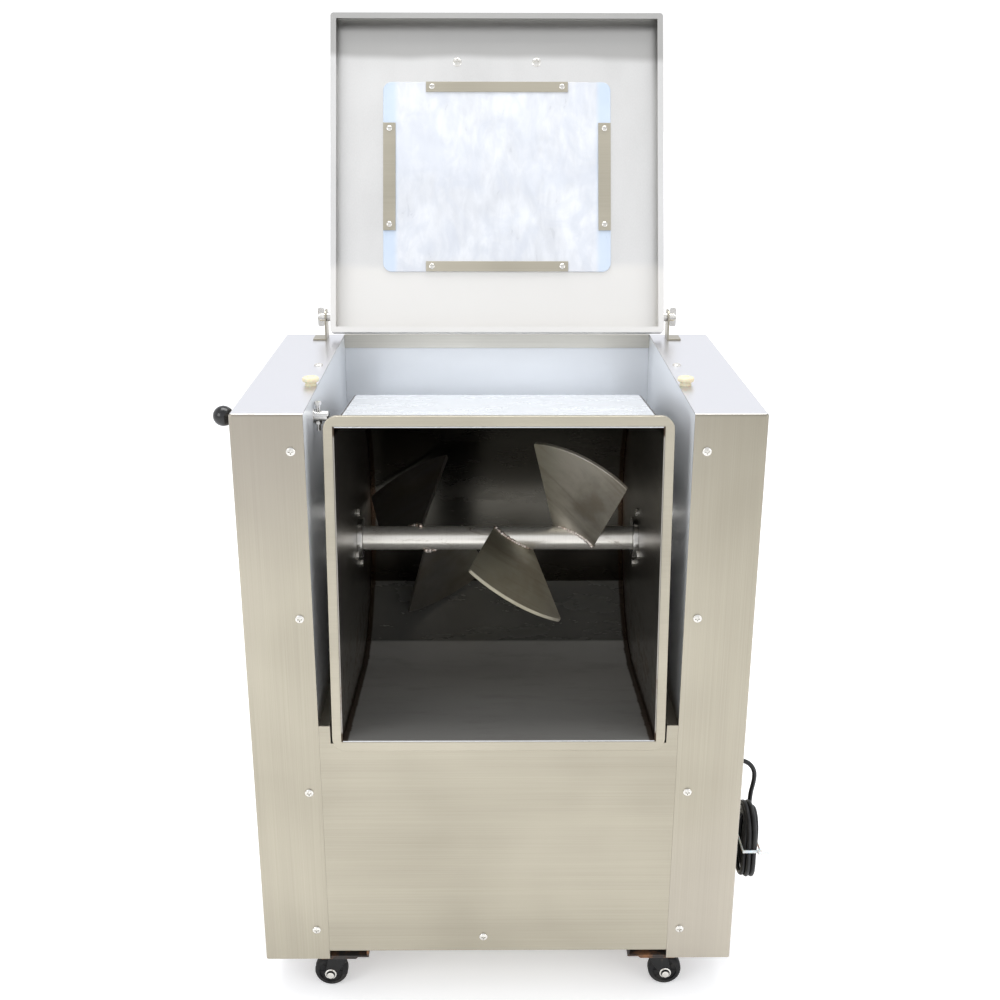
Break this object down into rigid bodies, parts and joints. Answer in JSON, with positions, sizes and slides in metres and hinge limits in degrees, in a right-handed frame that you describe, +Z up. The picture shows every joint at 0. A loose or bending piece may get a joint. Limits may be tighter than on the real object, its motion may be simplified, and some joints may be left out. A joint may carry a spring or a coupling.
{
  "type": "electric meat mixer",
  "caption": "Floor-standing electric meat mixer: a tilting tub with paddles between two towers, under a hinged lid with a window, on casters.",
  "frame": {"origin": "on the floor below the centre of the cabinet", "axes": "+X to the right seen from the front, +Y to the back, +Z up"},
  "size_m": [0.8072, 0.6893, 1.4026],
  "materials": {
    "casing_steel": "fine vertical brush, lightly worn",
    "rail_steel": "dull",
    "tub_steel": "brushed, bright",
    "turned_steel": "turned",
    "fastener_steel": "bright zinc",
    "frame_iron": "worn paint with rust",
    "drive_casting": "painted casting",
    "chain_steel": "oiled",
    "lid_steel": "brushed",
    "window_film": "cloudy protective film",
    "bumper_plastic": "cream",
    "black_plastic": "smooth",
    "fork_black": "black",
    "wheel_rubber": "matte",
    "cord_rubber": "matte",
    "tie_nylon": "white nylon"
  },
  "bodies": {
    "cabinet": {"tower_cover_left": "casing_steel", "tower_cover_right": "casing_steel", "inner_plate_left": "casing_steel", "inner_plate_right": "casing_steel", "front_panel": "casing_steel", "rear_panel": "casing_steel", "rear_rail": "rail_steel", "deck_plate": "casing_steel", "deck_rails": "casing_steel", "base_plate": "casing_steel", "base_channels": "frame_iron", "bearing_housings": "turned_steel", "bearing_bolts": "fastener_steel", "casing_screws": "fastener_steel", "top_rivets": "fastener_steel", "lid_bumpers": "bumper_plastic", "hinge_brackets": "fastener_steel", "hinge_bolts": "fastener_steel", "lock_bushes": "turned_steel", "gearbox": "drive_casting", "drive_motor": "drive_casting", "drive_chain": "chain_steel", "switch_plate": "black_plastic", "cord_gland": "black_plastic", "power_lead": "cord_rubber", "cord_hank": "cord_rubber", "cable_tie": "tie_nylon", "power_plug": "black_plastic", "caster_plates": "frame_iron"},
    "tub": {"tub_trough": "tub_steel", "tub_end_left": "tub_steel", "tub_end_right": "tub_steel", "tub_rim": "tub_steel", "tub_trunnions": "turned_steel", "seal_collars": "turned_steel", "seal_bolts": "fastener_steel"},
    "mixer_shaft": {"mixing_shaft": "turned_steel", "paddle_1": "turned_steel", "paddle_2": "turned_steel", "paddle_3": "turned_steel", "paddle_4": "turned_steel", "shaft_sprocket": "chain_steel"},
    "gearbox_output": {"output_shaft": "chain_steel", "output_sprocket": "chain_steel"},
    "lid": {"lid_panel": "lid_steel", "lid_window": "window_film", "window_strips": "lid_steel", "lid_screws": "fastener_steel", "lid_handle": "lid_steel"},
    "lock_bolt": {"lock_rod": "turned_steel", "ball_knob": "black_plastic"},
    "switch": {"switch_knob": "black_plastic"},
    "caster_front_left": {"caster_fork_front_left": "fork_black"},
    "wheel_front_left": {"caster_wheel_front_left": "wheel_rubber"},
    "caster_front_right": {"caster_fork_front_right": "fork_black"},
    "wheel_front_right": {"caster_wheel_front_right": "wheel_rubber"},
    "caster_rear_left": {"caster_fork_rear_left": "fork_black"},
    "wheel_rear_left": {"caster_wheel_rear_left": "wheel_rubber"},
    "caster_rear_right": {"caster_fork_rear_right": "fork_black"},
    "wheel_rear_right": {"caster_wheel_rear_right": "wheel_rubber"}
  },
  "joints": [
    {"name": "tub_tilt", "type": "hinge", "parent": "cabinet", "child": "tub", "pos_m": [0, 0.008, 0.64], "axis": [1, 0, 0], "range_deg": [-84, 0]},
    {"name": "shaft_spin", "type": "hinge", "parent": "cabinet", "child": "mixer_shaft", "pos_m": [0, 0.008, 0.64], "axis": [1, 0, 0], "continuous": true},
    {"name": "gearbox_output_spin", "type": "hinge", "parent": "cabinet", "child": "gearbox_output", "pos_m": [0, 0.008, 0.19], "axis": [1, 0, 0], "continuous": true},
    {"name": "lid_hinge", "type": "hinge", "parent": "cabinet", "child": "lid", "pos_m": [0, 0.214, 0.941], "axis": [1, 0, 0], "range_deg": [0, 111]},
    {"name": "lock_slide", "type": "slide", "parent": "cabinet", "child": "lock_bolt", "axis": [1, 0, 0], "range_m": [0, 0.011]},
    {"name": "switch_turn", "type": "hinge", "parent": "cabinet", "child": "switch", "pos_m": [0.36, -0.04, 0.77], "axis": [1, 0, 0], "range_deg": [-60, 60]},
    {"name": "swivel_front_left", "type": "hinge", "parent": "cabinet", "child": "caster_front_left", "pos_m": [-0.238, -0.215, 0.055], "axis": [0, 0, 1], "continuous": true},
    {"name": "roll_front_left", "type": "hinge", "parent": "caster_front_left", "child": "wheel_front_left", "pos_m": [-0.253, -0.215, 0.025], "axis": [0, 1, 0], "continuous": true},
    {"name": "swivel_front_right", "type": "hinge", "parent": "cabinet", "child": "caster_front_right", "pos_m": [0.238, -0.215, 0.055], "axis": [0, 0, 1], "continuous": true},
    {"name": "roll_front_right", "type": "hinge", "parent": "caster_front_right", "child": "wheel_front_right", "pos_m": [0.253, -0.215, 0.025], "axis": [0, 1, 0], "continuous": true},
    {"name": "swivel_rear_left", "type": "hinge", "parent": "cabinet", "child": "caster_rear_left", "pos_m": [-0.238, 0.215, 0.055], "axis": [0, 0, 1], "continuous": true},
    {"name": "roll_rear_left", "type": "hinge", "parent": "caster_rear_left", "child": "wheel_rear_left", "pos_m": [-0.253, 0.215, 0.025], "axis": [0, 1, 0], "continuous": true},
    {"name": "swivel_rear_right", "type": "hinge", "parent": "cabinet", "child": "caster_rear_right", "pos_m": [0.238, 0.215, 0.055], "axis": [0, 0, 1], "continuous": true},
    {"name": "roll_rear_right", "type": "hinge", "parent": "caster_rear_right", "child": "wheel_rear_right", "pos_m": [0.253, 0.215, 0.025], "axis": [0, 1, 0], "continuous": true}
  ],
  "couplings": [
    {"joint": "gearbox_output_spin", "follows": "shaft_spin", "ratio": 2}
  ]
}
